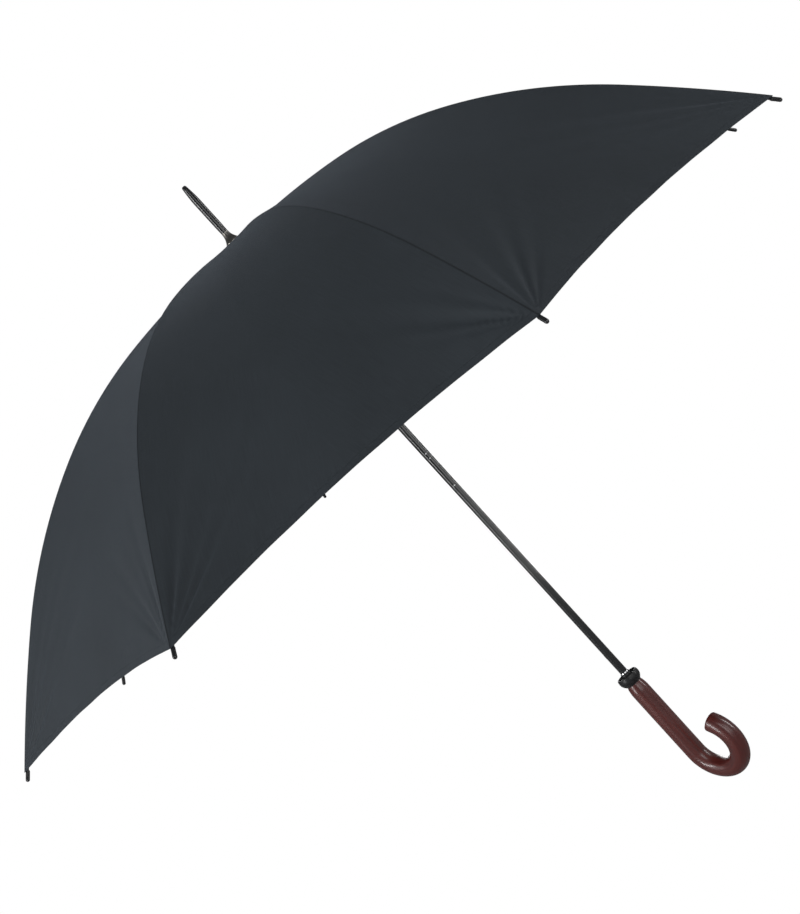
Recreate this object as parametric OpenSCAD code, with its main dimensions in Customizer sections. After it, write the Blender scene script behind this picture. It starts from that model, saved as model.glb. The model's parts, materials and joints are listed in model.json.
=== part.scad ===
// Stick umbrella, open, with a crook handle, an eight-rib folding frame and a fabric canopy.
// Millimetres. Z runs up the shaft from the lowest point of the crook to the ferrule.
// X points the way the crook opens. Rib planes stand between the X and Y axes.

/* [Canopy and ribs] */
// Height of the rib pivots above the lowest point of the crook
notch_z = 875; // [865:1:885]
// Distance of the rib and stretcher pivots from the shaft's axis
pivot_r = 9; // [9:0.1:9.2]
// Length of each of the four arcs that a rib is bent to
arc_lengths = [170, 150, 200, 172]; // [100:1:220]
// Slope of the rib below level at the ends of those arcs, in degrees
arc_slopes = [1, 10.5, 27, 44, 48.5]; // [1:0.5:60]
// Thickness of the canopy's solid
fabric_t = 0.8; // [0.6:0.1:1]
// How far the hem dips towards the crown between two ribs
hem_scallop = 24; // [10:1:40]

/* [Shaft and ferrule] */
// Diameter of the shaft
shaft_d = 10; // [10:0.5:10]
// Inner diameter of the shaft tube
shaft_bore_d = 8.4; // [8:0.1:8.6]
// Height of the ferrule's tip
ferrule_top_z = 971; // [965:1:985]
// Height of the bell under the ferrule
bell_h = 15; // [12:1:16]

/* [Runner] */
// Outer diameter of the runner's tube
runner_d = 15; // [14:0.5:16]
// Length of the runner below its pivots
runner_drop = 61; // [50:1:61]

/* [Handle] */
// Diameter of the wooden crook
handle_d = 24.4; // [22:0.2:26]
// Radius of the crook's centre line
crook_r = 35.5; // [30:0.5:40]
// How far the crook curls past half a turn, in degrees
crook_curl = 40; // [40:1:40]
// Height of the wood's upper end
handle_top_z = 160.4; // [150:0.2:165]
// Height of the tip cup's rim
cup_rim_z = 174.2; // [174:0.1:175]
// Largest diameter of the tip cup
cup_d = 29.6; // [29:0.1:32]

/* [Hidden] */
$fn = 64;
ribs = 8;
rib_step = 360 / ribs;          // angle between neighbouring ribs
gap = 0.3;                      // clearance between pieces that move past each other
past = 1;                       // how far a cutter reaches past what it cuts
shaft_r = shaft_d / 2;
wire_r = 0.8;                   // retaining wires and clip rivets
eye_r = 2;                      // round ends of ribs and stretchers
eye_t = 1.6;                    // thickness of the eyes on the retaining wires
eye_bore_r = 0.95;
clip_eye_t = 1.2;               // thickness of the stretcher's eye in the rib's clip
clip_bore_r = 0.9;
slot_w = eye_t + 2 * gap;       // slots of the notch and the runner

rib_w = 4.4;                    // U-shaped channel of the inner rib
rib_h = 4;
rib_wall = 0.6;
tongue_l = 14;                  // flat inner end of a rib or a stretcher
web_gap = 8;                    // the channel's top stops this far before the clip
cheek_l = 10;                   // clip cheeks on the end of the channel
cheek_r = 2.2;
cheek_y = [rib_w / 2 - rib_wall, rib_w / 2];
rivet_head_r = 1.4;
rivet_head_t = 0.4;

rod_w = 2.6;                    // square outer rib
sleeve_r = 1.9;                 // sleeve that joins the rod to its fork
sleeve_l = 14;
fork_l = 16;                    // from the clip to the sleeve
fork_r = 2.1;
fork_y = [0.8, 1.4];            // each fork's inner and outer face
stretcher_r = 1.3;
disc_r = 12.5;                  // notch and runner heads
cap_r = 2.4;                    // rib tips
cap_l = 13;
cap_hole_l = 5;                 // how far the rod goes into its cap

rise = 3;                       // canopy above the rib's centre line
crown_rise = 1.6;               // extra lift over the notch
crown_run = 30;
seam_gap = 0.4;                 // half of the gap between two neighbouring gores
hem_over = 2.5;                 // how far the hem's corner reaches over the cap
panel_rows = 24;
panel_cols = 6;
row_growth = 1.15;              // rows get longer towards the hem

// Rib line: four arcs that run into each other. s is the length along it from the pivot.
arc_starts = [0, arc_lengths[0], arc_lengths[0] + arc_lengths[1],
              arc_lengths[0] + arc_lengths[1] + arc_lengths[2]];
rib_l = arc_starts[3] + arc_lengths[3];
clip_s = arc_starts[2];
hem_s = rib_l - cap_l + hem_over;

function bend(i) = (arc_slopes[i + 1] - arc_slopes[i]) / arc_lengths[i] * PI / 180;
function start_r(i) = i == 0 ? pivot_r
    : start_r(i - 1) + (sin(arc_slopes[i]) - sin(arc_slopes[i - 1])) / bend(i - 1);
function start_z(i) = i == 0 ? notch_z
    : start_z(i - 1) - (cos(arc_slopes[i - 1]) - cos(arc_slopes[i])) / bend(i - 1);
function arc_of(s) = s < arc_starts[1] ? 0 : s < arc_starts[2] ? 1 : s < arc_starts[3] ? 2 : 3;
function slope_in(i, s) = arc_slopes[i] + (s - arc_starts[i]) * bend(i) * 180 / PI;
function slope_at(s) = slope_in(arc_of(s), s);
function r_at(s) = let (i = arc_of(s)) start_r(i) + (sin(slope_at(s)) - sin(arc_slopes[i])) / bend(i);
function z_at(s) = let (i = arc_of(s)) start_z(i) - (cos(arc_slopes[i]) - cos(slope_at(s))) / bend(i);

// Linkage: the stretcher is as long as the rib is from pivot to clip, so the runner keeps to the shaft.
clip_r = start_r(2);
clip_z = start_z(2);
runner_z = 2 * clip_z - notch_z;
link_l = norm([clip_r - pivot_r, notch_z - clip_z]);
link_rise = atan2(notch_z - clip_z, clip_r - pivot_r);
fold_angle = 75;
runner_travel = 2 * link_l * (cos(90 - link_rise - fold_angle) - cos(90 - link_rise));

crown_z = notch_z + rise + crown_rise + fabric_t + 0.4;
washer_t = 1.2;
bell_z = crown_z + washer_t;
bell_top_z = bell_z + bell_h;
bell_r = 9.5;
bell_neck_r = 4.5;
stem_r = 3.4;                   // ferrule stem inside the bell
plug_l = 40;                    // ferrule plug inside the shaft, below the pivots
ferrule_r = 4.7;
ferrule_straight = [12, 52];    // its straight stretch, from the bell's top

cup_floor_z = cup_rim_z - 9;
cup_base_z = cup_rim_z - 13;
boss_r = 6.8;
boss_z = cup_rim_z + 3.1;
cup_ring_h = 1.4;
shaft_foot_z = 100;
shaft_top_z = notch_z + 3;

runner_foot_z = runner_z - runner_drop;
catch_side = 180;               // the catches face away from the crook's opening
catch_w = 2.4;
catch_z = runner_foot_z - gap;
catch_l = 50;
catch_in = 1;                   // the catches' inner face, from the shaft's axis
catch_out = 8;
catch_lip = 3;
latch_z = 209;                  // middle of the lower catch
latch_l = 16;
latch_out = 6.9;
spring_r = 4.6;                 // outer face of the catches inside the tube
window_z = latch_z + runner_travel;

rivet_r = 1.2;
rivet_proud = 0.2;
rivet_zs = [529.5, 537];        // lower end of the upper spring
stop_z = 485.5;
rivet_turn = -37;

strap_rib = 5;                  // the rib that carries the tie strap
strap_w = 16;
strap_t = 1;
strap_s = [566, 680];
strap_lift = 4.8;
stud_back = 10;                 // from the strap's free end to its press stud

// Turns a piece drawn in the XZ plane into the plane of rib k.
module at_rib(k) { rotate([0, 0, rib_step * (k - 0.5)]) children(); }

// Moves to the rib line at s, with X along the rib and Z away from it, outward.
module on_rib(s) { translate([r_at(s), 0, z_at(s)]) rotate([0, slope_at(s), 0]) children(); }

// Sweeps a section along arc i of the rib from s0 to s1. Its X is outward and its Y is sideways.
module sweep(i, s0, s1) {
    radius = 1 / bend(i);
    translate([start_r(i) - radius * sin(arc_slopes[i]), 0, start_z(i) - radius * cos(arc_slopes[i])])
        rotate([90, 0, 0])
            rotate_extrude(start = 90 - slope_in(i, s1), angle = slope_in(i, s1) - slope_in(i, s0), $fn = 256)
                translate([radius, 0]) children();
}

// A disc of thickness t across the rib's plane.
module eye(r, t) { rotate([90, 0, 0]) cylinder(r = r, h = t, center = true); }

// A pair of flat cheeks between two distances from the rib's plane, from x0 to x1.
module cheeks(x0, x1, h, ys) {
    for (side = [0, 1]) mirror([0, side, 0]) translate([x0, ys[0], -h / 2]) cube([x1 - x0, ys[1] - ys[0], h]);
}

module round_cheeks(r, ys) {
    for (side = [0, 1]) mirror([0, side, 0])
        translate([0, ys[1], 0]) rotate([90, 0, 0]) cylinder(r = r, h = ys[1] - ys[0]);
}

// The eye and flat tongue that a rib or a stretcher turns on, from its pivot outward.
module tongue(h) {
    eye(eye_r, eye_t);
    translate([0, -eye_t / 2, -h / 2]) cube([tongue_l + 2, eye_t, h]);
}

module channel_section() {
    difference() {
        translate([-rib_h / 2, -rib_w / 2]) square([rib_h, rib_w]);
        translate([-rib_h / 2 - past, -rib_w / 2 + rib_wall])
            square([rib_h + past - rib_wall, rib_w - 2 * rib_wall]);
    }
}

// Inner rib: a channel that opens downward, with a tongue at the notch and a clip at the outer end.
module rib(k) {
    solid_l = 4;
    color("#17181a") at_rib(k) difference() {
        union() {
            on_rib(0) tongue(3.2);
            sweep(0, tongue_l, tongue_l + solid_l) square([rib_h, rib_w - 0.2], center = true);
            sweep(0, tongue_l, arc_starts[1]) channel_section();
            sweep(1, arc_starts[1], clip_s - web_gap) channel_section();
            on_rib(clip_s) {
                cheeks(-cheek_l, 0, rib_h, cheek_y);
                round_cheeks(cheek_r, cheek_y);
                eye(wire_r, rib_w + 2 * rivet_head_t);
                round_cheeks(rivet_head_r, [rib_w / 2, rib_w / 2 + rivet_head_t]);
            }
        }
        on_rib(0) eye(eye_bore_r, eye_t + past);
    }
}

// Outer rib: a fork on the clip's rivet, a sleeve, and a square spring rod.
module rib_outer(k) {
    fork_h = 2.6;
    color("#17181a") at_rib(k) difference() {
        union() {
            on_rib(clip_s) {
                round_cheeks(fork_r, fork_y);
                cheeks(0, fork_l + 3, fork_h, fork_y);
                translate([fork_l, 0, -0.1]) rotate([0, 90, 0]) cylinder(r = sleeve_r, h = sleeve_l);
            }
            sweep(2, clip_s + fork_l + 2, arc_starts[3]) square(rod_w, center = true);
            sweep(3, arc_starts[3], rib_l - cap_l + cap_hole_l - past) square(rod_w, center = true);
        }
        on_rib(clip_s) eye(clip_bore_r, 2 * fork_y[1] + past);
    }
}

module rib_tip(k) {
    lip = 1;
    color("#0d0d0f") at_rib(k) on_rib(rib_l - cap_l) rotate([0, 90, 0]) difference() {
        rotate_extrude() {
            square([cap_r * 0.85, cap_l - cap_r]);
            translate([0, lip]) square([cap_r, cap_l - cap_r - lip]);
            translate([0, cap_l - cap_r]) intersection() { circle(cap_r); square(cap_r); }
        }
        translate([0, 0, -past]) cylinder(r = rod_w * 0.73, h = cap_hole_l + past);
    }
}

module stretcher(k) {
    flat_l = fork_l + 4;
    color("#1b1c1e") at_rib(k) translate([pivot_r, 0, runner_z]) rotate([0, -link_rise, 0]) difference() {
        union() {
            tongue(2.8);
            translate([tongue_l, 0, 0]) rotate([0, 90, 0])
                cylinder(r = stretcher_r, h = link_l - tongue_l - fork_l);
            translate([link_l - flat_l, -clip_eye_t / 2, -stretcher_r])
                cube([flat_l, clip_eye_t, 2 * stretcher_r]);
            translate([link_l, 0, 0]) eye(eye_r, clip_eye_t);
        }
        eye(eye_bore_r, eye_t + past);
        translate([link_l, 0, 0]) eye(clip_bore_r, clip_eye_t + past);
    }
}

// A gore: a thin closed sheet between two rib planes, from the crown to the scalloped hem.
// u runs across it from one rib to the next, and h is the height above its lower face.
function hem_at(u) = hem_s - hem_scallop * 4 * u * (1 - u);
function lift(s) = rise + crown_rise * pow(max(0, 1 - s / crown_run), 2);
function on_gore(s, u, h) =
    let (a = slope_at(s), r = r_at(s) + h * sin(a), z = z_at(s) + h * cos(a),
         half = r * sin(rib_step / 2) - seam_gap)
    [r * cos(rib_step / 2), (2 * u - 1) * half, z];
function gore_point(i, j, h) =
    let (u = j / panel_cols, s = hem_at(u) * pow(i / panel_rows, row_growth)) on_gore(s, u, lift(s) + h);

module canopy_panel(k) {
    wide = panel_cols + 1;
    count = (panel_rows + 1) * wide;
    points = [for (h = [0, fabric_t], i = [0:panel_rows], j = [0:panel_cols]) gore_point(i, j, h)];
    lower = [for (i = [0:panel_rows - 1], j = [0:panel_cols - 1]) let (p = i * wide + j)
                each [[p, p + 1, p + wide], [p + 1, p + wide + 1, p + wide]]];
    upper = [for (t = lower) [count + t[2], count + t[1], count + t[0]]];
    rim = concat([for (j = [0:panel_cols - 1]) j],
                 [for (i = [0:panel_rows - 1]) i * wide + panel_cols],
                 [for (j = [panel_cols:-1:1]) panel_rows * wide + j],
                 [for (i = [panel_rows:-1:1]) i * wide]);
    n = len(rim);
    edge = [for (m = [0:n - 1]) let (a = rim[m], b = rim[(m + 1) % n])
                each [[a, count + a, b], [b, count + a, count + b]]];
    color("#33383d") rotate([0, 0, rib_step * k]) polyhedron(points, concat(lower, upper, edge));
}

module rivet_place(z) { translate([0, 0, z]) rotate([0, 0, rivet_turn]) rotate([0, 90, 0]) children(); }

module rivet(z) {
    rivet_place(z) {
        cylinder(r = rivet_r * 0.6, h = shaft_d, center = true);
        for (side = [0, 1]) mirror([0, 0, side])
            translate([0, 0, shaft_r]) cylinder(r1 = rivet_r, r2 = rivet_r * 0.6, h = rivet_proud);
    }
}

module spring_rivets() { color("#c9cacc") for (z = rivet_zs) rivet(z); }

module stop_rivet() { color("#c9cacc") rivet(stop_z); }

// A slot through one wall of the shaft, from z to z + h, for a catch.
module catch_slot(z, h) {
    rotate([0, 0, catch_side]) translate([0, -catch_w / 2 - gap, z])
        cube([shaft_r + past, catch_w + 2 * gap, h]);
}

module shaft() {
    color("#101113") difference() {
        translate([0, 0, shaft_foot_z]) cylinder(r = shaft_r, h = shaft_top_z - shaft_foot_z);
        translate([0, 0, shaft_foot_z - past])
            cylinder(d = shaft_bore_d, h = shaft_top_z - shaft_foot_z + 2 * past);
        catch_slot(catch_z - catch_l - 2, catch_l + 2.2);
        catch_slot(latch_z - latch_l / 2 - 1, latch_l + 2);
        for (z = concat(rivet_zs, [stop_z]))
            rivet_place(z) cylinder(r = rivet_r * 0.6, h = shaft_d + 2 * past, center = true);
    }
}

module ferrule() {
    long = ferrule_top_z - bell_top_z;
    color("#0c0c0e") {
        translate([0, 0, notch_z - plug_l]) cylinder(d = shaft_bore_d, h = shaft_top_z - notch_z + plug_l);
        translate([0, 0, shaft_top_z - 0.01]) cylinder(r = stem_r, h = bell_top_z - shaft_top_z + past);
        translate([0, 0, bell_top_z]) rotate_extrude()
            polygon([[0, 0], [4.3, 0], [ferrule_r, ferrule_straight[0]], [ferrule_r, ferrule_straight[1]],
                     [4.1, ferrule_straight[1] + 7], [3.3, long - 2.4], [2.9, long - 0.9], [2, long],
                     [0, long]]);
    }
}

module crown_bell() {
    steps = 12;
    foot = 0.6;
    color("#8d8a84") translate([0, 0, bell_z]) rotate_extrude()
        polygon(concat([[stem_r, bell_h], [stem_r, 0], [bell_r, 0]],
            [for (n = [0:steps]) let (t = n / steps)
                [bell_neck_r + (bell_r - bell_neck_r) * pow(1 - t, 1.9), foot + (bell_h - foot) * t]]));
}

module crown_washer() {
    color("#101012") translate([0, 0, crown_z]) difference() {
        cylinder(r = bell_r + 0.5, h = washer_t);
        translate([0, 0, -past]) cylinder(r = stem_r, h = washer_t + 2 * past);
    }
}

module wire_ring(z) {
    color("#b9b9bb") translate([0, 0, z]) rotate_extrude() translate([pivot_r, 0]) circle(wire_r);
}

// Slots for the eyes, open outward and towards one end of the hub.
module slots(z, down) {
    reach = 20;
    for (k = [1:ribs]) at_rib(k)
        translate([pivot_r - eye_r - gap, -slot_w / 2, down ? z - reach : z - eye_r - gap])
            cube([reach, slot_w, reach + eye_r + gap]);
}

module wire_groove(z) { translate([0, 0, z]) rotate_extrude() translate([pivot_r, 0]) circle(wire_r + 0.05); }

module top_notch() {
    hub_l = 18;
    color("#141416") difference() {
        union() {
            translate([0, 0, notch_z - 5]) cylinder(r = disc_r, h = 8.2);
            translate([0, 0, notch_z - 4 - hub_l]) cylinder(r = 6.6, h = hub_l);
        }
        translate([0, 0, notch_z - plug_l]) cylinder(r = shaft_r, h = 2 * plug_l);
        slots(notch_z, true);
        wire_groove(notch_z);
    }
}

module runner() {
    head_low = runner_z - 4;
    cone_h = 6;
    color("#141416") difference() {
        union() {
            translate([0, 0, head_low]) cylinder(r = disc_r, h = 6.6);
            translate([0, 0, head_low - cone_h]) cylinder(d1 = runner_d, r2 = disc_r - 1.5, h = cone_h);
            translate([0, 0, runner_foot_z]) cylinder(d = runner_d, h = runner_drop);
            translate([0, 0, runner_foot_z]) cylinder(r = runner_d / 2 + 1, h = 3);
            for (n = [1:3])
                translate([0, 0, runner_foot_z + 4 * n + 1]) cylinder(r = runner_d / 2 + 0.6, h = 2);
        }
        translate([0, 0, runner_foot_z - past]) cylinder(r = shaft_r + gap, h = 2 * runner_drop);
        slots(runner_z, false);
        wire_groove(runner_z);
        rotate([0, 0, catch_side]) translate([0, -catch_w / 2 - gap, window_z - latch_l / 2 - gap])
            cube([disc_r + past, catch_w + 2 * gap, latch_l + 2 * gap]);
    }
}

// Places a flat spring in the plane through the shaft's axis, on the catches' side.
module catch_plate(z) {
    color("#a9a9ab") rotate([0, 0, catch_side]) translate([0, catch_w / 2, z]) rotate([90, 0, 0])
        linear_extrude(catch_w) children();
}

// Upper catch: a wedge in the shaft's slot, with its shoulder at the top.
module top_catch() {
    catch_plate(catch_z) polygon([[catch_in, 0], [catch_out, 0], [catch_out, -catch_lip],
                                  [spring_r, -catch_l], [catch_in, -catch_l]]);
}

// Lower catch: its shoulder faces down, so that it keeps the runner from rising.
module bottom_catch() {
    half = latch_l / 2;
    catch_plate(latch_z) polygon([[catch_in, -half], [spring_r, -half], [latch_out, 2 - half],
                                  [latch_out, -1], [spring_r, half], [catch_in, half]]);
}

module tip_cup() {
    r = cup_d / 2;
    color("#0d0e10") rotate_extrude()
        polygon([[shaft_r, cup_base_z], [10.8, cup_base_z], [11.4, cup_base_z + 0.5],
                 [13.3, cup_base_z + 2.8], [r - 0.3, cup_base_z + 5.6], [r, cup_base_z + 8],
                 [r - 0.3, cup_rim_z - 1.2],
                 [r - 0.9, cup_rim_z], [r - 2, cup_rim_z], [r - 2.3, cup_floor_z + 3], [10.4, cup_floor_z],
                 [boss_r + 0.3, cup_floor_z], [boss_r, boss_z - 1], [boss_r - 0.8, boss_z],
                 [shaft_r, boss_z]]);
}

module cup_ring() {
    color("#c4c6c8") translate([0, 0, boss_z]) difference() {
        cylinder(r1 = shaft_r + 0.9, r2 = shaft_r + 0.5, h = cup_ring_h);
        translate([0, 0, -past]) cylinder(r = shaft_r, h = cup_ring_h + 2 * past);
    }
}

module handle_ring() {
    h = cup_base_z - handle_top_z;
    color("#08080a") translate([0, 0, handle_top_z]) difference() {
        cylinder(r = 10.4, h = h);
        translate([0, 0, -past]) cylinder(r = shaft_r, h = h + 2 * past);
    }
}

// Wooden crook: a straight grip, more than half a turn of bend, and a rounded end.
module handle() {
    r = handle_d / 2;
    bend_z = crook_r + r;
    taper_l = 12;
    top_r = 10.9;
    grip_l = handle_top_z - taper_l - bend_z;
    end_l = 8;
    edge = 4;
    color("#4a1a17") difference() {
        union() {
            translate([0, 0, bend_z]) rotate_extrude()
                polygon([[0, 0], [r, 0], [r, grip_l], [top_r, grip_l + taper_l], [0, grip_l + taper_l]]);
            translate([crook_r, 0, bend_z]) rotate([90, 0, 0])
                rotate_extrude(start = 180, angle = 180 + crook_curl) translate([crook_r, 0]) circle(r);
            translate([crook_r, 0, bend_z]) rotate([0, -crook_curl, 0]) translate([crook_r, 0, 0]) {
                cylinder(r = r * 0.7, h = 4, center = true);
                rotate_extrude() {
                    square([r - edge, end_l]);
                    square([r, end_l - edge]);
                    translate([r - edge, end_l - edge]) intersection() { circle(edge); square(edge); }
                }
            }
        }
        translate([0, 0, shaft_foot_z]) cylinder(r = shaft_r, h = handle_top_z);
    }
}

module tie_strap() {
    color("#2c3035") at_rib(strap_rib) sweep(3, strap_s[0], strap_s[1])
        translate([strap_lift, -strap_w / 2]) square([strap_t, strap_w]);
}

module strap_stud() {
    color("#1a1a1c") at_rib(strap_rib) on_rib(strap_s[1] - stud_back) translate([0, 0, strap_lift + strap_t])
        rotate_extrude() { square([4.5, 1.2]); square([3.2, 2]); }
}

shaft();
ferrule();
crown_bell();
crown_washer();
top_notch();
wire_ring(notch_z);  // notch_wire
runner();
wire_ring(runner_z);  // runner_wire
top_catch();
bottom_catch();
spring_rivets();
stop_rivet();
cup_ring();
tip_cup();
handle_ring();
handle();
tie_strap();
strap_stud();
for (k = [1:ribs]) {
    rib(k);
    rib_outer(k);
    rib_tip(k);
    stretcher(k);
    canopy_panel(k);
}
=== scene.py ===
"""Looks of the stick umbrella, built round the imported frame. Metres, with Z up the shaft."""

import json
import math

import bpy
import numpy as np
from mathutils import Matrix, Vector

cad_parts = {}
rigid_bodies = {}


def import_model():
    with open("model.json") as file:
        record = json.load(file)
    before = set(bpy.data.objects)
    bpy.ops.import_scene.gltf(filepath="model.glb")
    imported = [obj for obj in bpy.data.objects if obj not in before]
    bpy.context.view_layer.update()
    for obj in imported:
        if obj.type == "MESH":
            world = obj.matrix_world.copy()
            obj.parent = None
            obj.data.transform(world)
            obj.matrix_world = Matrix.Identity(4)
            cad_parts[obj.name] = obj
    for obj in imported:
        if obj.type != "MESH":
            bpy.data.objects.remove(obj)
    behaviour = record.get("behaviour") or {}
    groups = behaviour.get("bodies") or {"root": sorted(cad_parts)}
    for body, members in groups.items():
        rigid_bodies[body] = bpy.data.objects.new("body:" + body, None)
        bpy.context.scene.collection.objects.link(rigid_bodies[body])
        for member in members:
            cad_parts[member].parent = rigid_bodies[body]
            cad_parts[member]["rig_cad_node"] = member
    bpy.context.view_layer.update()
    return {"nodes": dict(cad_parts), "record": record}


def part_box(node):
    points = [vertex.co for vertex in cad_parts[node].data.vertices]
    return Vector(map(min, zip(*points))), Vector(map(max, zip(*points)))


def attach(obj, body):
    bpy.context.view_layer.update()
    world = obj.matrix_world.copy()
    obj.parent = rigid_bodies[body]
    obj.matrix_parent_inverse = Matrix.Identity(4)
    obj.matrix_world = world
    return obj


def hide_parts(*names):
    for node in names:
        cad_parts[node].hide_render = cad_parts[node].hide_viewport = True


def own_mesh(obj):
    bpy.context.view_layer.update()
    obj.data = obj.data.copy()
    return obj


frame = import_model()

MM = 0.001
RIBS = 8
RIB_STEP = 360 / RIBS
HALF = math.radians(RIB_STEP / 2)

# ---------------------------------------------------------------- camera
# A level camera beside the open canopy, rolled so that the umbrella leans in the picture.
VIEW_AZIMUTH = math.radians(52.864)
VIEW_ELEVATION = math.radians(1.529)
VIEW_ROLL = math.radians(-42.279)
VIEW_DISTANCE = 2.16707
VIEW_TARGET_Z = 0.554786
VIEW_SHIFT_RIGHT = -0.025707
LENS = 70.581
SENSOR_WIDTH = 36


def view_axes():
    """The view's own right, up and backward directions, before the camera is rolled."""
    a, e = VIEW_AZIMUTH, VIEW_ELEVATION
    back = Vector((math.sin(a) * math.cos(e), -math.cos(a) * math.cos(e), math.sin(e)))
    right = Vector((math.cos(a), math.sin(a), 0))
    return right, back.cross(right), back


def make_camera():
    right, up, back = view_axes()
    data = bpy.data.cameras.new("camera")
    data.lens = LENS
    data.sensor_width = SENSOR_WIDTH
    camera = bpy.data.objects.new("camera", data)
    bpy.context.scene.collection.objects.link(camera)
    target = Vector((0, 0, VIEW_TARGET_Z)) + right * VIEW_SHIFT_RIGHT
    across = right * math.cos(VIEW_ROLL) + up * math.sin(VIEW_ROLL)
    upward = up * math.cos(VIEW_ROLL) - right * math.sin(VIEW_ROLL)
    turn = Matrix((across, upward, back)).transposed().to_4x4()
    camera.matrix_world = Matrix.Translation(target + back * VIEW_DISTANCE) @ turn
    bpy.context.scene.camera = camera


make_camera()


# ---------------------------------------------------------------- materials
class Shader:
    """A node material that is being made. Fixed values go straight on the shader's sockets."""

    def __init__(self, name, **fixed):
        self.material = bpy.data.materials.new(name)
        self.material.use_nodes = True
        self.tree = self.material.node_tree
        self.bsdf = self.tree.nodes["Principled BSDF"]
        for socket, value in fixed.items():
            self.bsdf.inputs[socket.replace("_", " ")].default_value = value

    def node(self, kind, **values):
        """Adds a node. Values named after a socket set it or link to it; the others are settings."""
        made = self.tree.nodes.new("ShaderNode" + kind)
        for key, value in values.items():
            name = key.replace("_", " ")
            if name in made.inputs:
                self.feed(made.inputs[name], value)
            else:
                setattr(made, key, value)
        return made

    def feed(self, socket, value):
        if isinstance(value, bpy.types.NodeSocket):
            self.tree.links.new(value, socket)
        else:
            socket.default_value = value

    def set(self, socket, value):
        self.feed(self.bsdf.inputs[socket], value)

    def math(self, operation, *values):
        made = self.node("Math", operation=operation)
        for socket, value in zip(made.inputs, values):
            self.feed(socket, value)
        return made.outputs[0]

    def ramp(self, value, *stops):
        """A colour ramp over value, with (position, colour) stops."""
        made = self.node("ValToRGB")
        self.feed(made.inputs[0], value)
        elements = made.color_ramp.elements
        while len(elements) < len(stops):
            elements.new(0.5)
        for element, (position, colour) in zip(elements, stops):
            element.position = position
            element.color = (*colour, 1)
        return made.outputs[0]

    def span(self, value, low, high, to_low=0.0, to_high=1.0):
        """Maps low..high to to_low..to_high, and clamps."""
        made = self.node("MapRange", clamp=True)
        for socket, item in zip(made.inputs, (value, low, high, to_low, to_high)):
            self.feed(socket, item)
        return made.outputs[0]

    def mix(self, share, first, second):
        """Mixes two colours."""
        made = self.node("Mix", data_type="RGBA")
        self.feed(made.inputs[0], share)
        for socket, colour in ((made.inputs[6], first), (made.inputs[7], second)):
            self.feed(socket, colour if isinstance(colour, bpy.types.NodeSocket) else (*colour, 1))
        return made.outputs[2]

    def scaled(self, vector, *scale):
        return self.node("Mapping", Vector=vector, Scale=scale).outputs[0]

    def noise(self, scale, detail, vector=None):
        """Noise over vector, or over the piece's own coordinates in metres."""
        made = self.node("TexNoise", Scale=scale, Detail=detail)
        if vector is None:
            vector = self.node("TexCoord").outputs["Object"]
        self.feed(made.inputs["Vector"], vector)
        return made.outputs["Fac"]

    def bump(self, height, distance, strength, under=None):
        """Gives the surface a relief, on top of an earlier one if under is its output."""
        made = self.node("Bump", Strength=strength, Distance=distance, Height=height)
        if under is not None:
            self.feed(made.inputs["Normal"], under)
        self.set("Normal", made.outputs[0])
        return made.outputs[0]


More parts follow.
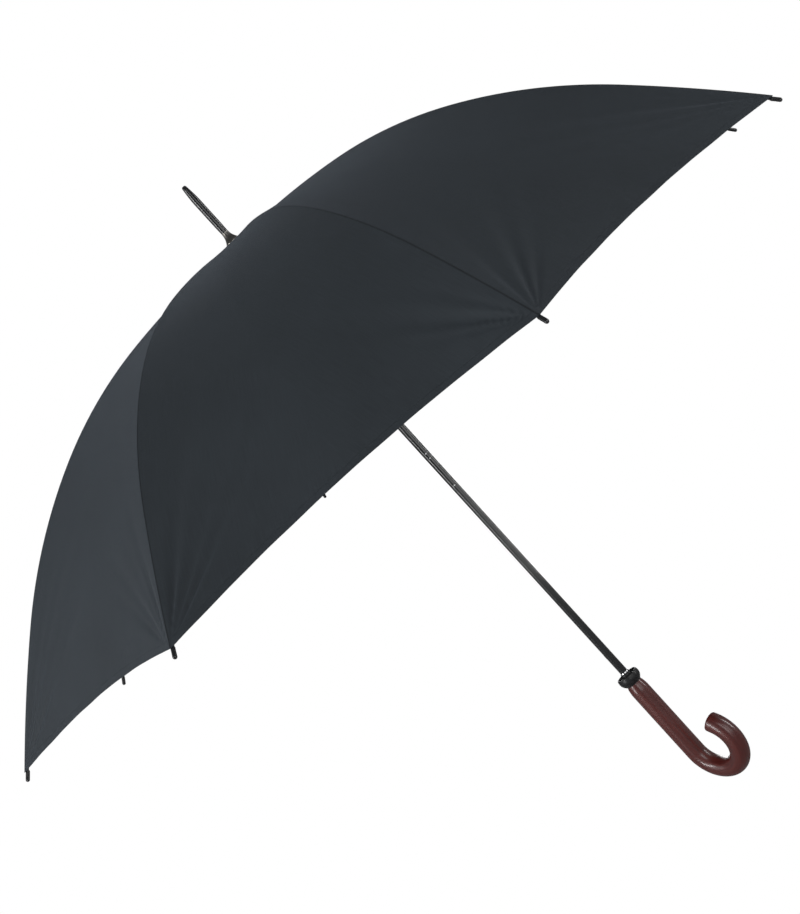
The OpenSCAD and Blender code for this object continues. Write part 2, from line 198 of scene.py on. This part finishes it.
def canopy_cloth(name, dark, light):
    """Tightly woven canopy cloth: fine plain weave, soft sheen, hem stitches and pressed seams, with
    painted shade darkening the cloth in each seam's crease.
    """
    shader = Shader(
        name,
        Sheen_Weight=0.14,
        Sheen_Roughness=0.35,
        Sheen_Tint=(0.72, 0.84, 1, 1),
        Specular_IOR_Level=0.3,
    )
    thread_pitch = 0.45 * MM
    stitch_row, stitch_width = 8 * MM, 0.8 * MM
    stitch_pitch, stitch_share = 3.2 * MM, 0.72
    # How strongly painted shade darkens the cloth in the seams' creases, and how dark the stitches are.
    painted_crease_shade_share, stitch_shade = 0.7, 0.5
    weave_at = shader.node("UVMap", uv_map="weave").outputs[0]
    edge_at = shader.node("UVMap", uv_map="edges").outputs[0]
    weave_xy = shader.node("SeparateXYZ", Vector=weave_at).outputs
    edge_xy = shader.node("SeparateXYZ", Vector=edge_at).outputs
    turns = 2 * math.pi / thread_pitch
    weft = shader.math("SINE", shader.math("MULTIPLY", weave_xy[0], turns))
    warp = shader.math("SINE", shader.math("MULTIPLY", weave_xy[1], turns))
    weave = shader.math("MULTIPLY", weft, warp)
    yarn = shader.noise(1, 2, shader.scaled(weave_at, 900, 30, 1))
    cloud = shader.noise(7, 4)
    off_row = shader.math("ABSOLUTE", shader.math("SUBTRACT", edge_xy[1], stitch_row))
    on_row = shader.math("LESS_THAN", off_row, stitch_width / 2)
    dash = shader.math("FRACT", shader.math("DIVIDE", weave_xy[0], stitch_pitch))
    stitch = shader.math("MULTIPLY", on_row, shader.math("LESS_THAN", dash, stitch_share))
    # A band 0.6 to 1.6 mm from each seam, where painted shade darkens the cloth as in the seam's crease.
    seam = shader.span(edge_xy[0], 0.6 * MM, 1.6 * MM, 1, 0)
    tone = shader.math("MULTIPLY_ADD", yarn, 0.5, shader.math("MULTIPLY", cloud, 0.6))
    colour = shader.ramp(tone, (0.3, dark), (0.8, light))
    # The painted crease shade along the seams is the dark cloth colour at 0.3 of its brightness; the
    # stitches are at 0.6.
    painted_crease_shade_colour, stitch_colour = (tuple(c * share for c in dark) for share in (0.3, 0.6))
    colour = shader.mix(shader.math("MULTIPLY", seam, painted_crease_shade_share), colour, painted_crease_shade_colour)
    colour = shader.mix(shader.math("MULTIPLY", stitch, stitch_shade), colour, stitch_colour)
    shader.set("Base Color", colour)
    shader.set("Roughness", shader.span(cloud, 0.3, 0.7, 0.62, 0.74))
    relief = shader.bump(weave, 0.06 * MM, 0.5)
    pucker = shader.noise(1, 3, shader.scaled(weave_at, 60, 160, 1))
    near_seam = shader.span(edge_xy[0], 1 * MM, 16 * MM, 1, 0)
    near_hem = shader.span(edge_xy[1], 2 * MM, 22 * MM, 1, 0)
    puckers = shader.math("MULTIPLY", pucker, shader.math("MAXIMUM", near_seam, near_hem))
    relief = shader.bump(puckers, 0.9 * MM, 0.6, relief)
    shader.bump(shader.math("MULTIPLY", stitch, -1), 0.35 * MM, 0.8, relief)
    return shader.material


def painted(name, colour, roughness, duller=0.08, coat=0.0, peel_scale=960):
    """A painted or moulded surface with faint orange peel, and paler, duller worn patches."""
    shader = Shader(name, Coat_Weight=coat, Coat_Roughness=0.06)
    patches = shader.noise(22, 5)
    peel = shader.noise(peel_scale, 2)
    sound, worn = 0.35, 0.75
    paler = tuple(min(1, c * 1.5 + 0.004) for c in colour)
    shader.set("Base Color", shader.ramp(patches, (sound, colour), (worn, paler)))
    shader.set("Roughness", shader.span(patches, sound, worn, roughness, roughness + duller))
    shader.bump(peel, 0.004 * MM, 0.1)
    return shader.material


def brushed(name, colour, roughness, tarnish):
    """Bare metal, turned on a lathe, with fine rings and a little tarnish."""
    shader = Shader(name, Metallic=1.0)
    place = shader.node("TexCoord").outputs["Object"]
    rings = shader.noise(1, 2, shader.scaled(place, 60, 60, 9000))
    stains = shader.noise(130, 4)
    shader.set("Base Color", shader.ramp(stains, (0.35, colour), (0.8, tarnish)))
    shader.set("Roughness", shader.span(rings, 0.3, 0.7, roughness, roughness + 0.14))
    shader.bump(rings, 0.02 * MM, 0.3)
    return shader.material


def lacquered_wood(name):
    """Dark red-brown stained hardwood under a satin lacquer, with grain that runs along the crook."""
    shader = Shader(name, Coat_Weight=0.8, Coat_Roughness=0.2, Coat_IOR=1.48)
    along = shader.node("Attribute", attribute_name="grain").outputs["Vector"]
    figure = shader.noise(1, 4, shader.scaled(along, 150, 150, 9))
    pores = shader.noise(1, 2, shader.scaled(along, 1500, 1500, 60))
    streak = shader.noise(1, 2, shader.scaled(along, 420, 420, 14))
    tone = shader.math("MULTIPLY_ADD", streak, 0.4, shader.math("MULTIPLY", figure, 0.6))
    colour = shader.ramp(
        tone,
        (0.3, (0.075, 0.011, 0.009)),
        (0.5, (0.115, 0.018, 0.014)),
        (0.72, (0.17, 0.03, 0.022)),
    )
    open_pores = shader.span(pores, 0.28, 0.4, 1, 0)
    colour = shader.mix(shader.math("MULTIPLY", open_pores, 0.25), colour, (0.03, 0.005, 0.004))
    shader.set("Base Color", colour)
    shader.set("Roughness", shader.span(figure, 0.3, 0.7, 0.34, 0.46))
    shader.bump(pores, 0.004 * MM, 0.05)
    return shader.material


CLOTH_DARK = (0.030, 0.0365, 0.043)
CLOTH_LIGHT = (0.044, 0.0535, 0.063)
materials = {
    "canopy_cloth": canopy_cloth("canopy_cloth", CLOTH_DARK, CLOTH_LIGHT),
    "rib_enamel": painted("rib_enamel", (0.012, 0.012, 0.014), 0.32, coat=0.3),
    "shaft_enamel": painted("shaft_enamel", (0.008, 0.0085, 0.0095), 0.12, duller=0.04, coat=0.6),
    "black_plastic": painted("black_plastic", (0.011, 0.011, 0.012), 0.34, peel_scale=1560),
    "tip_plastic": painted("tip_plastic", (0.009, 0.0095, 0.011), 0.2, coat=0.4, peel_scale=1560),
    "pewter": brushed("pewter", (0.3, 0.29, 0.27), 0.24, (0.12, 0.11, 0.1)),
    "bright_steel": brushed("bright_steel", (0.72, 0.72, 0.73), 0.2, (0.45, 0.44, 0.43)),
    "mahogany": lacquered_wood("mahogany"),
}


def paint(obj, slot):
    """Gives a piece or a CAD node the material of that slot."""
    obj.data.materials.clear()
    obj.data.materials.append(materials[slot])


# ---------------------------------------------------------------- mesh helpers
SHARP_ANGLE = math.radians(40)


def new_piece(name, points, faces, slot, body, nodes=()):
    """A shaded mesh piece that rides on a body and stands for CAD nodes."""
    mesh = bpy.data.meshes.new(name)
    mesh.from_pydata([tuple(p) for p in points], [], faces)
    mesh.validate()
    mesh.update()
    mesh.shade_smooth()
    mesh.set_sharp_from_angle(angle=SHARP_ANGLE)
    obj = bpy.data.objects.new(name, mesh)
    bpy.context.scene.collection.objects.link(obj)
    paint(obj, slot)
    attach(obj, body)
    if nodes:
        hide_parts(*nodes)
    return obj


def rounded(points, radius, steps=4):
    """The profile with its inner corners rounded. Each point is (r, z), or (r, z, own corner radius)."""
    flat = [Vector(p[:2]) for p in points]
    sizes = [p[2] if len(p) > 2 else radius for p in points]
    out = [flat[0]]
    for before, corner, after, size in zip(flat, flat[1:], flat[2:], sizes[1:]):
        back, on = before - corner, after - corner
        cut = min(size, 0.45 * back.length, 0.45 * on.length)
        if cut < 1e-6:
            out.append(corner)
            continue
        first, last = corner + back.normalized() * cut, corner + on.normalized() * cut
        for n in range(steps + 1):
            t = n / steps
            out.append(first.lerp(corner, t).lerp(corner.lerp(last, t), t))
    out.append(flat[-1])
    return [tuple(p) for p in out]


def ring_faces(rings, segments, closed):
    """Quads between neighbouring rings of points, and from the last ring to the first if closed."""
    last = rings if closed else rings - 1
    return [
        (i * segments + j, i * segments + (j + 1) % segments,
         (i + 1) % rings * segments + (j + 1) % segments, (i + 1) % rings * segments + j)
        for i in range(last) for j in range(segments)
    ]


def lathe(name, profile, slot, nodes, closed=False):
    """Turns a profile of (r, z) round the shaft. Its ends are capped by a fan unless it is closed."""
    segments = 96
    points = [
        (r * math.cos(t), r * math.sin(t), z)
        for r, z in profile
        for t in np.linspace(0, 2 * math.pi, segments, endpoint=False)
    ]
    faces = ring_faces(len(profile), segments, closed)
    if not closed:
        top = (len(profile) - 1) * segments
        points += [(0, 0, profile[0][1]), (0, 0, profile[-1][1])]
        for j in range(segments):
            after = (j + 1) % segments
            faces.append((len(points) - 2, after, j))
            faces.append((len(points) - 1, top + j, top + after))
    return new_piece(name, points, faces, slot, "frame", nodes)


def shell_faces(rows, columns):
    """Faces of a thin closed sheet: quads of its outer skin and its inner skin in turn, then its rim."""
    count = rows * columns
    quads = [(i * columns + j, i * columns + j + 1, (i + 1) * columns + j + 1, (i + 1) * columns + j)
             for i in range(rows - 1) for j in range(columns - 1)]
    skins = [face for quad in quads for face in (quad[::-1], tuple(count + v for v in quad))]
    rim = [
        *range(columns),
        *(i * columns + columns - 1 for i in range(1, rows)),
        *((rows - 1) * columns + j for j in range(columns - 2, -1, -1)),
        *(i * columns for i in range(rows - 2, 0, -1)),
    ]
    return skins, [(a, b, count + b, count + a) for a, b in zip(rim, rim[1:] + rim[:1])]


# ---------------------------------------------------------------- rib line
PIVOT_R = 9 * MM
NOTCH_Z = 0.875
ARC_LENGTHS = np.array([0.170, 0.150, 0.200, 0.172])
ARC_SLOPES = np.radians([1, 10.5, 27, 44, 48.5])
ARC_STARTS = np.concatenate([[0], np.cumsum(ARC_LENGTHS)])
ARC_BENDS = np.diff(ARC_SLOPES) / ARC_LENGTHS
ARC_R = PIVOT_R + np.concatenate([[0], np.cumsum(np.diff(np.sin(ARC_SLOPES)) / ARC_BENDS)])
ARC_Z = NOTCH_Z + np.concatenate([[0], np.cumsum(np.diff(np.cos(ARC_SLOPES)) / ARC_BENDS)])
CLIP_S = ARC_STARTS[2]
RIB_L = ARC_STARTS[-1]
TIP_L = 13 * MM


def rib_line(s):
    """Distance from the axis, height, and slope below level, at length s along the rib."""
    i = np.clip(np.searchsorted(ARC_STARTS, s, side="right") - 1, 0, 3)
    slope = ARC_SLOPES[i] + (s - ARC_STARTS[i]) * ARC_BENDS[i]
    r = ARC_R[i] + (np.sin(slope) - np.sin(ARC_SLOPES[i])) / ARC_BENDS[i]
    z = ARC_Z[i] + (np.cos(slope) - np.cos(ARC_SLOPES[i])) / ARC_BENDS[i]
    return r, z, slope


def rib_angle(k):
    return math.radians(RIB_STEP / 2 + RIB_STEP * (k - 1))


# ---------------------------------------------------------------- canopy
CLOTH_RISE = 3.8 * MM           # outer face of the cloth above the rib line
CROWN_RISE = 1.6 * MM           # more of it at the crown
CROWN_RUN = 30 * MM
CROWN_S = -1.5 * MM             # the cloth starts inside the ribs' pivots
HEM_S = RIB_L - TIP_L + 2.5 * MM   # the hem's corner reaches over the rib tip
HEM_SCALLOP = 22 * MM
CLOTH_T = 0.4 * MM
FOLDED_T = 0.8 * MM             # where the hem and the seams are folded double
HEM_BAND = 9 * MM
SEAM_BAND = 3 * MM
SAG = 0.022                     # of a gore's width, inward at its middle
SEAM_COLUMNS = np.array([0, 0.5, 1.2, 2.2, 3.0, 3.8]) * MM
SEAM_NARROWS = 12 * MM          # the seam's columns close up where a half gore is narrower than this
MIDDLE_COLUMNS = np.linspace(0, 1, 41)[1:] ** 1.2      # as a share of what is beyond the seam
INNER_ROWS = np.linspace(0, 1, 30) ** 1.1
OUTER_ROWS = 1 - (1 - np.linspace(0, 1, 56)) ** 1.4
HEM_ROWS = np.array([0, 0.5, 1.5, 4, 7, 8, 9, 10, 13]) * MM
HEM_START = 16 * MM             # OUTER_ROWS end this far from the hem, where HEM_ROWS take over
# Folds that run out of a rib tip: the angles from the rib, their width in radians, depth and reach.
FOLD_ANGLES = (0.26, 0.44, 0.62, 0.82)
FOLD_WIDTH = 0.08
FOLD_DEPTH = 3.8 * MM
FOLD_REACH = 85 * MM
FOLD_START = 75 * MM            # they reach their depth this far from the tip
FOLD_END = 60 * MM              # and they vanish over this distance before the gore's middle
FLUTTER_DEPTH = 0.22 * MM       # of the hem's small waves
FLUTTER_REACH = 26 * MM
FLUTTER_START = 30 * MM         # from the rib
NORMAL_STEP = 0.05 * MM         # over which the surface's slopes are measured


def smooth(t):
    """An even step from 0 to 1."""
    t = np.clip(t, 0, 1)
    return t * t * (3 - 2 * t)


def hem_at(share):
    """Where the hem is, along the rib line. share is 0 at a rib and 1 in the middle of a gore."""
    return HEM_S - HEM_SCALLOP * share * (2 - share)


def wrinkles(gore, s, y, share):
    """Small folds of the stretched cloth, outward. y is the signed distance from the gore's middle."""
    from_hem = hem_at(share) - s
    r, _, _ = rib_line(s)
    from_rib = r * math.sin(HALF) - np.abs(y)
    along = np.maximum(HEM_S - s, 1e-6)
    reach = np.hypot(from_rib, along)
    fan = np.arctan2(from_rib, along)
    pull = np.exp(-reach / FOLD_REACH) * smooth(reach / FOLD_START) * smooth(np.abs(y) / FOLD_END)
    folds = 0
    for n, angle in enumerate(FOLD_ANGLES):
        lean = angle + 0.05 * math.sin(gore * 2.7 + n * 1.9)
        depth = 0.9 + 0.5 * np.sin(gore * 1.3 + n * 2.2 + 1.1 * np.sign(y))
        folds = folds + depth * np.exp(-((fan - lean) / FOLD_WIDTH) ** 2)
    flutter = np.exp(-np.maximum(from_hem, 0) / FLUTTER_REACH) * smooth(from_rib / FLUTTER_START)
    waves = np.sin(y / (17 * MM) + gore * 2.1) + 0.6 * np.sin(y / (9.3 * MM) + gore * 4.4)
    return flutter * waves * FLUTTER_DEPTH - pull * folds * FOLD_DEPTH


def gore_surface(gore, s, y, half, rise):
    """Points of a gore's outer face, in the row frame. Its middle lies at gore times the rib step."""
    r, z, slope = rib_line(s)
    r = r + rise * np.sin(slope)
    z = z + rise * np.cos(slope)
    share = 1 - np.abs(y) / half
    steep = np.arctan2(np.sin(slope), np.cos(slope) * math.cos(HALF))
    inward = SAG * 2 * half * share * (2 - share) - wrinkles(gore, s, y, share)
    x = r * math.cos(HALF) - inward * np.sin(steep)
    z = z - inward * np.cos(steep)
    turn = math.radians(RIB_STEP * gore)
    return np.stack([x * math.cos(turn) - y * math.sin(turn),
                     x * math.sin(turn) + y * math.cos(turn), z], -1)


def cloth_rise(s):
    """How far the cloth's outer face lies off the rib line. The crown's washer holds it higher."""
    return CLOTH_RISE + CROWN_RISE * np.maximum(0, 1 - s / CROWN_RUN) ** 2


def half_gore_grid(rows_at):
    """Each grid point's s, its distance from the rib, and that as a share of the half gore's width."""
    columns = []
    for seam, middle in [(c, 0) for c in SEAM_COLUMNS] + [(SEAM_COLUMNS[-1], c) for c in MIDDLE_COLUMNS]:
        hem_share = middle
        for _ in range(3):      # the rows follow the hem, which depends on the column's share there
            s = rows_at(hem_share)
            half = half_width(s)
            start = seam * np.minimum(1, half / SEAM_NARROWS)
            away = start + (half - start) * middle
            hem_share = (away / half)[-1]
        columns.append((s, away, away / half))
    return (np.stack(grid, -1) for grid in zip(*columns))


def half_width(s):
    """The distance from a rib's seam to the gore's middle."""
    r, _, slope = rib_line(s)
    return (r + cloth_rise(s) * np.sin(slope)) * math.sin(HALF)


def inner_rows(_):
    return CROWN_S + (CLIP_S - CROWN_S) * INNER_ROWS


def outer_rows(share):
    hem = hem_at(share)
    return np.concatenate([CLIP_S + (hem - HEM_START - CLIP_S) * OUTER_ROWS, (hem - HEM_ROWS)[::-1]])


def half_gore(name, rib, side, rows_at, body, nodes=()):
    """One half of a gore, from rib's own seam to the gore's middle, as a thin closed sheet."""
    gore = rib if side > 0 else (rib - 2) % RIBS + 1
    s, away, share = half_gore_grid(rows_at)
    from_hem = hem_at(share) - s

    def surface(s, away):
        half = half_width(s)
        return gore_surface(gore, s, -side * (half - away), half, cloth_rise(s))

    outer = surface(s, away)
    along = surface(s + NORMAL_STEP, away) - surface(s - NORMAL_STEP, away)
    sideways = surface(s, away + NORMAL_STEP) - surface(s, away - NORMAL_STEP)
    normal = np.cross(sideways, along) * -side
    normal /= np.linalg.norm(normal, axis=-1, keepdims=True)
    doubled = np.maximum(from_hem < HEM_BAND, away < SEAM_BAND)
    thick = np.where(doubled, FOLDED_T, CLOTH_T)[..., None]
    inner = outer - normal * thick
    piece = sheet_piece(name, outer, inner, normal, side, s, away, from_hem, body, nodes)
    return piece


def sheet_piece(name, outer, inner, normal, side, s, away, from_hem, body, nodes):
    """The mesh of a half gore, with its own normals and the places that its material reads."""
    skins, rim = shell_faces(*s.shape)
    faces = [face if side > 0 else face[::-1] for face in skins + rim]
    kinds = [1, -1] * (len(skins) // 2) + [0] * len(rim)    # outer skin, inner skin, rim
    count = s.size
    points = np.concatenate([outer.reshape(-1, 3), inner.reshape(-1, 3)])
    obj = new_piece(name, points, faces, "canopy_cloth", body, nodes)
    mesh = obj.data
    flat_normal = normal.reshape(-1, 3)
    weave = mesh.uv_layers.new(name="weave")
    edges = mesh.uv_layers.new(name="edges")
    place = np.stack([away.ravel() * side, s.ravel()], -1)
    edge = np.stack([away.ravel(), from_hem.ravel()], -1)
    loop_normals = np.zeros((len(mesh.loops), 3))
    for polygon, kind in zip(mesh.polygons, kinds):
        for loop in polygon.loop_indices:
            vertex = mesh.loops[loop].vertex_index % count
            weave.data[loop].uv = place[vertex]
            edges.data[loop].uv = edge[vertex]
            loop_normals[loop] = flat_normal[vertex] * kind if kind else polygon.normal
    mesh.normals_split_custom_set(loop_normals.tolist())
    return obj


def canopy():
    """Every half gore is cut at the rib's clip, so that its two pieces ride on the rib's two bodies."""
    for rib in range(1, RIBS + 1):
        for side in (1, -1):
            label = f"{rib}_{'left' if side > 0 else 'right'}"
            nodes = [f"canopy_panel_{rib}"] if side > 0 else []
            upper = half_gore(f"cloth_upper_{label}", rib, side, inner_rows, f"rib_{rib}", nodes)
            lower = half_gore(f"cloth_lower_{label}", rib, side, outer_rows, f"outer_{rib}")
            for piece, outer in ((upper, False), (lower, True)):
                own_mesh(piece)


canopy()


# ---------------------------------------------------------------- crook handle
def crook_path():
    """Centre points and directions of the handle from its top to the crook's end, and its radius."""
    low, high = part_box("handle")
    radius = (high.y - low.y) / 2
    bend_r = 35.5 * MM
    curl = math.radians(40)
    straight_end = 8 * MM
    steps_grip, steps_bend, steps_end = 40, 120, 8
    centre_z = low.z + radius + bend_r
    stations = []
    for n in range(steps_grip + 1):
        z = high.z + (centre_z - high.z) * n / steps_grip
        stations.append((Vector((0, 0, z)), Vector((0, 0, -1))))
    for n in range(1, steps_bend + 1):
        t = math.pi + (math.pi + curl) * n / steps_bend
        out = Vector((math.cos(t), 0, math.sin(t)))
        stations.append((Vector((bend_r, 0, centre_z)) + out * bend_r, Vector((-out.z, 0, out.x))))
    end, along = stations[-1]
    for n in range(1, steps_end + 1):
        stations.append((end + along * (straight_end * n / steps_end), along))
    return stations, radius


def handle():
    """The crook: round bar along its path, narrower under the cup, with a rounded end."""
    segments = 72
    stations, radius = crook_path()
    top_cut, end_round, taper, narrowing = 0.8 * MM, 3.2 * MM, 12 * MM, 1.3 * MM
    total = sum((b[0] - a[0]).length for a, b in zip(stations, stations[1:]))
    side = Vector((0, 1, 0))
    points, grain, travelled = [], [], 0.0
    previous = stations[0][0]
    for centre, along in stations:
        travelled += (centre - previous).length
        previous = centre
        left = total - travelled
        size = radius - narrowing * smooth(1 - travelled / taper)
        size -= top_cut * max(0, 1 - travelled / top_cut)
        if left < end_round:
            size -= end_round - math.sqrt(max(0, end_round ** 2 - (end_round - left) ** 2))
        over = along.cross(side)
        for j in range(segments):
            t = 2 * math.pi * j / segments
            points.append(centre + (side * math.cos(t) + over * math.sin(t)) * size)
            grain.append((math.cos(t) * size, math.sin(t) * size, travelled))
    rings = len(stations)
    faces = [f[::-1] for f in ring_faces(rings, segments, False)]
    points += [stations[0][0], stations[-1][0]]
    grain += [(0, 0, 0), (0, 0, total)]
    top, end = len(points) - 2, len(points) - 1
    last = (rings - 1) * segments
    for j in range(segments):
        after = (j + 1) % segments
        faces.append((top, j, after))
        faces.append((end, last + after, last + j))
    obj = new_piece("crook_handle", points, faces, "mahogany", "frame", ["handle"])
    attribute = obj.data.attributes.new("grain", "FLOAT_VECTOR", "POINT")
    attribute.data.foreach_set("vector", np.array(grain, np.float32).ravel())


handle()


# ---------------------------------------------------------------- turned pieces
def in_mm(z, *points):
    """Profile points given in millimetres above z. A third value is the corner's own radius."""
    return [(r * MM, z + up * MM, *(c * MM for c in corner)) for r, up, *corner in points]


def turned_pieces():
    """The ferrule, the bell under it and the cup that holds the rib tips."""
    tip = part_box("ferrule")[1].z
    bell_low, bell_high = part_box("crown_bell")
    foot, long = bell_high.z, (tip - bell_high.z) / MM
    lathe("ferrule_spike", rounded(in_mm(
        foot, (3.4, -10), (3.4, 0), (4.2, 0), (4.4, 0.3), (4.7, 12, 4), (4.7, 52, 5), (4.2, 60, 4),
        (3.4, long - 5, 3), (3.0, long - 1.6, 1.4), (2.2, long, 1.2), (0.4, long)), 0.3 * MM),
        "shaft_enamel", ["ferrule"])
    neck, brim, high = 4.5, bell_high.x / MM, (bell_high.z - bell_low.z) / MM
    flare = [(neck + (brim - neck) * (1 - t) ** 2.2, 0.9 + (high - 0.9) * t) for t in np.linspace(0, 1, 22)]
    lathe("bell", in_mm(bell_low.z, (3.5, 0), (brim - 0.2, 0), (brim, 0.2), (brim, 0.7), *flare,
                        (neck - 0.3, high), (3.5, high)), "pewter", ["crown_bell"], closed=True)
    low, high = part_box("tip_cup")
    r, top = high.x / MM, (high.z - low.z) / MM
    rim, floor = top - 3.1, top - 12.1
    lathe("cup", rounded(in_mm(
        low.z, (5, 0), (10.8, 0), (11.4, 0.5), (13.3, 2.8, 1.5), (r - 0.3, 5.6, 1.5), (r, 8, 1.5),
        (r - 0.3, rim - 1.2, 1), (r - 0.9, rim), (r - 2, rim), (r - 2.3, floor + 3, 1.5), (10.4, floor, 1),
        (7.1, floor, 0.6), (6.8, top - 1), (6.0, top), (5, top)), 0.35 * MM),
        "black_plastic", ["tip_cup"], closed=True)


turned_pieces()


# ---------------------------------------------------------------- tie strap
def tie_strap():
    """The strap lies on the cloth along its rib, with slight waves, and its end has clipped corners."""
    rib, width, lift, thick = 5, 16 * MM, 4.8 * MM, 0.8 * MM
    start, end, corner = 0.566, 0.680, 5 * MM
    wave, edge_drop = 0.5 * MM, 0.2 * MM
    turn = rib_angle(rib)
    radial = np.array([math.cos(turn), math.sin(turn), 0])
    tangent = np.array([-math.sin(turn), math.cos(turn), 0])
    rows, columns = 60, 13
    s_line = np.linspace(start, end, rows)
    points = []
    for skin in (1, 0):
        for s in s_line:
            r, z, slope = (float(v) for v in rib_line(np.array(s)))
            half = width / 2 - max(0, corner - (end - s)) * 0.6
            normal = radial * math.sin(slope) + np.array([0, 0, math.cos(slope)])
            for c in np.linspace(-1, 1, columns):
                rise = lift + skin * thick + wave * math.sin(s / (11 * MM)) * smooth((s - start) / 0.02)
                rise -= edge_drop * (abs(c) > 0.97)
                points.append(radial * r + np.array([0, 0, z]) + normal * rise + tangent * c * half)
    skins, rim = shell_faces(rows, columns)
    obj = new_piece("strap", points, skins + rim, "canopy_cloth", f"outer_{rib}", ["tie_strap"])
    mesh = obj.data
    weave, edges = mesh.uv_layers.new(name="weave"), mesh.uv_layers.new(name="edges")
    for loop in mesh.loops:
        i, j = divmod(loop.vertex_index % (rows * columns), columns)
        c = -1 + 2 * j / (columns - 1)
        weave.data[loop.index].uv = (s_line[i], c * width / 2)
        edges.data[loop.index].uv = (1, (1 - abs(c)) * width / 2 + 6 * MM)


tie_strap()


# ---------------------------------------------------------------- carried-over CAD nodes
def paint_frame():
    """Materials for the CAD nodes that are seen as they are."""
    for entry in frame["record"]["subparts"]:
        obj = frame["nodes"][entry["node"]]
        if not obj.hide_render:
            paint(obj, entry["material_slot"])


paint_frame()


# ---------------------------------------------------------------- stage and light
FLOOR_HALF = 12
FLOOR_Z = -1 * MM
ROOM_LIGHT = 0.15
ROOM_COLOUR = (0.93, 0.96, 1, 1)
LIGHT_MIDDLE = Vector((0, 0, 0.55))
LIGHT_DISTANCE = 2.6
BOX = (1.4, 1.4)
LIGHTS = (      # name, direction to the picture's right, up and front, size, watts
    ("crown_box", (-0.6, 0.6, -0.5), BOX, 1),
    ("left_box", (-0.9, -0.4, 0.1), BOX, 6),
    ("low_left_strip", (-0.64, -0.58, 0.5), (0.3, 2.6), 40),
    ("side_strip", (0.8, 0.6, 0.1), (0.2, 2.6), 24),
    ("handle_strip", (0.12, 0.1, 0.98), (0.6, 2.6), 13),
    ("right_box", (0.42, 0.36, 0.82), BOX, 8),
    ("back_box", (0.2, 0.1, -0.97), BOX, 22),
)


def seen_or_lit(tree, seen, lit):
    """A shader that the camera sees as one output, while the umbrella is lit by another."""
    path = tree.nodes.new("ShaderNodeLightPath")
    pick = tree.nodes.new("ShaderNodeMixShader")
    tree.links.new(path.outputs["Is Camera Ray"], pick.inputs[0])
    tree.links.new(lit, pick.inputs[1])
    tree.links.new(seen, pick.inputs[2])
    return pick.outputs[0]


def stage():
    """A floor that the camera sees as plain white."""
    mesh = bpy.data.meshes.new("floor")
    corners = [(x * FLOOR_HALF, y * FLOOR_HALF, FLOOR_Z) for x, y in ((-1, -1), (1, -1), (1, 1), (-1, 1))]
    mesh.from_pydata(corners, [], [(0, 1, 2, 3)])
    floor = bpy.data.objects.new("floor", mesh)
    bpy.context.scene.collection.objects.link(floor)
    shader = Shader("pale_floor", Roughness=0.9)
    shader.set("Base Color", (0.5, 0.5, 0.5, 1))
    glow = shader.node("Emission", Strength=1.0).outputs[0]
    output = shader.tree.nodes["Material Output"].inputs["Surface"]
    shader.tree.links.new(seen_or_lit(shader.tree, glow, shader.bsdf.outputs[0]), output)
    mesh.materials.append(shader.material)


def world():
    """White behind the umbrella, and a dim room that lights it."""
    made = bpy.data.worlds.new("studio")
    bpy.context.scene.world = made
    made.use_nodes = True
    tree = made.node_tree
    white = tree.nodes["Background"]
    white.inputs["Color"].default_value = (1, 1, 1, 1)
    dim = tree.nodes.new("ShaderNodeBackground")
    dim.inputs["Color"].default_value = ROOM_COLOUR
    dim.inputs["Strength"].default_value = ROOM_LIGHT
    output = tree.nodes["World Output"].inputs["Surface"]
    tree.links.new(seen_or_lit(tree, white.outputs[0], dim.outputs[0]), output)


def soft_light(name, direction, size, watts):
    """A softbox that looks at the umbrella's middle."""
    turn = bpy.context.scene.camera.matrix_world.to_3x3()
    place = LIGHT_MIDDLE + (turn @ Vector(direction)).normalized() * LIGHT_DISTANCE
    data = bpy.data.lights.new(name, "AREA")
    data.shape = "RECTANGLE"
    data.size, data.size_y = size
    data.energy = watts
    light = bpy.data.objects.new(name, data)
    bpy.context.scene.collection.objects.link(light)
    light.location = place
    light.rotation_euler = (place - LIGHT_MIDDLE).to_track_quat("Z", "Y").to_euler()
    light.visible_camera = False


stage()
world()
for light in LIGHTS:
    soft_light(*light)
bpy.context.scene.view_settings.view_transform = "Standard"
